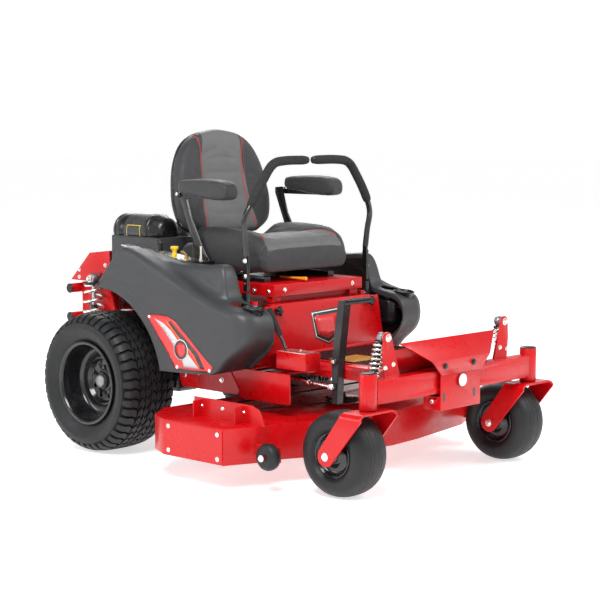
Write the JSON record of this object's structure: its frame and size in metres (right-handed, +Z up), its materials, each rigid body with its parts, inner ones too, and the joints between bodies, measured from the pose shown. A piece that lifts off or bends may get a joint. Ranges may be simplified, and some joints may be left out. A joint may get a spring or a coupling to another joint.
{
  "type": "zero turn mower",
  "caption": "Ride-on zero-turn mower with twin swing levers, suspended seat and axles, rear engine, caster front wheels and a mid-mounted cutting deck.",
  "frame": {"origin": "on the ground under the middle of the whole machine", "axes": "+Z up, -Y towards the front casters, -X towards the machine's own right side"},
  "size_m": [1.312, 1.7473, 1.1731],
  "materials": {
    "red_paint": "gloss",
    "black_steel": "gloss",
    "grey_steel": "satin",
    "grey_plastic": "fine grain",
    "tyre_rubber": "matte",
    "seat_vinyl": "grained",
    "bright_steel": "zinc",
    "grey_casting": "cast",
    "black_plastic": "gloss",
    "foam_grip": "foam",
    "orange_plastic": "gloss"
  },
  "bodies": {
    "chassis": {"main_frame": "red_paint", "floor_pan": "red_paint", "foot_plate": "red_paint", "axle_bracket": "red_paint", "engine_guard": "red_paint", "fuel_tank": "black_plastic", "engine_block": "grey_casting", "blower_housing": "black_plastic", "air_cleaner": "black_plastic", "engine_side_cowl": "grey_plastic", "muffler": "bright_steel", "seat_pedestal": "red_paint", "fender_right": "grey_plastic", "fender_left": "grey_plastic", "rear_damper_right": "black_steel", "rear_damper_left": "black_steel", "rear_spring_right": "bright_steel", "rear_spring_left": "bright_steel"},
    "rear_axle": {"rear_subframe": "black_steel", "transaxle_right": "grey_casting", "transaxle_left": "grey_casting"},
    "front_axle": {"front_axle_beam": "red_paint", "front_damper_right": "black_steel", "front_damper_left": "black_steel", "front_spring_right": "bright_steel", "front_spring_left": "bright_steel"},
    "platform": {"seat_platform": "red_paint"},
    "seat": {"seat_frame": "black_steel", "seat_cushion": "seat_vinyl", "seat_backrest": "seat_vinyl"},
    "seat_lever": {"seat_slide_lever": "orange_plastic"},
    "deck": {"deck_shell": "red_paint", "discharge_cover": "red_paint", "deck_belt": "tyre_rubber"},
    "pedal": {"deck_lift_pedal": "grey_steel"},
    "height_lever": {"deck_height_lever": "foam_grip"},
    "rear_wheel_right": {"rear_tyre_right": "tyre_rubber", "rear_rim_right": "black_steel"},
    "caster_right": {"caster_fork_right": "red_paint"},
    "caster_wheel_right": {"caster_tyre_right": "tyre_rubber", "caster_rim_right": "black_steel"},
    "armrest_body_right": {"armrest_right": "seat_vinyl"},
    "lever_lower_right": {"lever_base_right": "black_steel"},
    "lever_upper_right": {"control_lever_right": "foam_grip"},
    "roller_right": {"anti_scalp_roller_right": "tyre_rubber"},
    "rear_wheel_left": {"rear_tyre_left": "tyre_rubber", "rear_rim_left": "black_steel"},
    "caster_left": {"caster_fork_left": "red_paint"},
    "caster_wheel_left": {"caster_tyre_left": "tyre_rubber", "caster_rim_left": "black_steel"},
    "armrest_body_left": {"armrest_left": "seat_vinyl"},
    "lever_lower_left": {"lever_base_left": "black_steel"},
    "lever_upper_left": {"control_lever_left": "foam_grip"},
    "roller_left": {"anti_scalp_roller_left": "tyre_rubber"},
    "cutter_right": {"spindle_right": "black_steel", "blade_right": "bright_steel"},
    "cutter_centre": {"spindle_centre": "black_steel", "blade_centre": "bright_steel"},
    "cutter_left": {"spindle_left": "black_steel", "blade_left": "bright_steel"}
  },
  "joints": [
    {"name": "rear_suspension", "type": "hinge", "parent": "chassis", "child": "rear_axle", "pos_m": [0, 0.0767, 0.29], "axis": [1, 0, 0], "range_deg": [-1.8, 1.8], "stiffness_Nm_per_rad": 20000, "springref_deg": -1.72, "deforming": ["rear_spring_right", "rear_spring_left"]},
    {"name": "front_axle_pivot", "type": "hinge", "parent": "chassis", "child": "front_axle", "pos_m": [0, -0.8233, 0.345], "axis": [0, 1, 0], "range_deg": [-3, 3], "stiffness_Nm_per_rad": 1500, "deforming": ["front_spring_right", "front_spring_left"]},
    {"name": "seat_tilt", "type": "hinge", "parent": "chassis", "child": "platform", "pos_m": [0, -0.2083, 0.588], "axis": [1, 0, 0], "range_deg": [0, 10]},
    {"name": "seat_slide", "type": "slide", "parent": "platform", "child": "seat", "axis": [0, -1, 0], "range_m": [-0.02, 0.045]},
    {"name": "seat_lever_pivot", "type": "hinge", "parent": "seat", "child": "seat_lever", "pos_m": [-0.06, -0.0833, 0.642], "axis": [0, 0, 1], "range_deg": [0, 15], "stiffness_Nm_per_rad": 1},
    {"name": "deck_lift", "type": "slide", "parent": "chassis", "child": "deck", "axis": [0, 0, 1], "range_m": [-0.06, 0.02]},
    {"name": "pedal_pivot", "type": "hinge", "parent": "chassis", "child": "pedal", "pos_m": [-0.235, -0.5248, 0.398], "axis": [1, 0, 0], "range_deg": [-20, 7]},
    {"name": "height_lever_pivot", "type": "hinge", "parent": "chassis", "child": "height_lever", "pos_m": [-0.316, -0.3633, 0.412], "axis": [1, 0, 0], "range_deg": [-15, 15]},
    {"name": "rear_wheel_spin_right", "type": "hinge", "parent": "rear_axle", "child": "rear_wheel_right", "pos_m": [-0.428, 0.4367, 0.254], "axis": [1, 0, 0], "continuous": true},
    {"name": "caster_swivel_right", "type": "hinge", "parent": "front_axle", "child": "caster_right", "pos_m": [-0.424, -0.8243, 0.35], "axis": [0, 0, 1], "continuous": true},
    {"name": "caster_spin_right", "type": "hinge", "parent": "caster_right", "child": "caster_wheel_right", "pos_m": [-0.424, -0.7243, 0.14], "axis": [1, 0, 0], "continuous": true},
    {"name": "armrest_hinge_right", "type": "hinge", "parent": "seat", "child": "armrest_body_right", "pos_m": [-0.265, 0.2217, 0.935], "axis": [-1, 0, 0], "range_deg": [0, 90]},
    {"name": "lever_drive_right", "type": "hinge", "parent": "chassis", "child": "lever_lower_right", "pos_m": [-0.31, -0.1633, 0.56], "axis": [1, 0, 0], "range_deg": [-6, 18], "stiffness_Nm_per_rad": 25},
    {"name": "lever_swing_right", "type": "hinge", "parent": "lever_lower_right", "child": "lever_upper_right", "pos_m": [-0.31, -0.1633, 0.614], "axis": [0, -1, 0], "range_deg": [0, 22]},
    {"name": "roller_spin_right", "type": "hinge", "parent": "deck", "child": "roller_right", "pos_m": [-0.575, -0.5313, 0.122], "axis": [1, 0, 0], "continuous": true},
    {"name": "rear_wheel_spin_left", "type": "hinge", "parent": "rear_axle", "child": "rear_wheel_left", "pos_m": [0.428, 0.4367, 0.254], "axis": [1, 0, 0], "continuous": true},
    {"name": "caster_swivel_left", "type": "hinge", "parent": "front_axle", "child": "caster_left", "pos_m": [0.424, -0.8243, 0.35], "axis": [0, 0, 1], "continuous": true},
    {"name": "caster_spin_left", "type": "hinge", "parent": "caster_left", "child": "caster_wheel_left", "pos_m": [0.424, -0.7243, 0.14], "axis": [1, 0, 0], "continuous": true},
    {"name": "armrest_hinge_left", "type": "hinge", "parent": "seat", "child": "armrest_body_left", "pos_m": [0.265, 0.2217, 0.935], "axis": [-1, 0, 0], "range_deg": [0, 90]},
    {"name": "lever_drive_left", "type": "hinge", "parent": "chassis", "child": "lever_lower_left", "pos_m": [0.31, -0.1633, 0.56], "axis": [1, 0, 0], "range_deg": [-6, 18], "stiffness_Nm_per_rad": 25},
    {"name": "lever_swing_left", "type": "hinge", "parent": "lever_lower_left", "child": "lever_upper_left", "pos_m": [0.31, -0.1633, 0.614], "axis": [0, 1, 0], "range_deg": [0, 22]},
    {"name": "roller_spin_left", "type": "hinge", "parent": "deck", "child": "roller_left", "pos_m": [0.575, -0.5313, 0.122], "axis": [1, 0, 0], "continuous": true},
    {"name": "blade_spin_right", "type": "hinge", "parent": "deck", "child": "cutter_right", "pos_m": [-0.425, -0.1833, 0.11], "axis": [0, 0, 1], "continuous": true},
    {"name": "blade_spin_centre", "type": "hinge", "parent": "deck", "child": "cutter_centre", "pos_m": [0, -0.3283, 0.11], "axis": [0, 0, 1], "continuous": true},
    {"name": "blade_spin_left", "type": "hinge", "parent": "deck", "child": "cutter_left", "pos_m": [0.425, -0.1833, 0.11], "axis": [0, 0, 1], "continuous": true}
  ],
  "couplings": [
    {"joint": "blade_spin_centre", "follows": "blade_spin_right", "ratio": 1},
    {"joint": "blade_spin_left", "follows": "blade_spin_right", "ratio": 1},
    {"joint": "pedal_pivot", "follows": "deck_lift", "rad_per_m": 5.7}
  ]
}
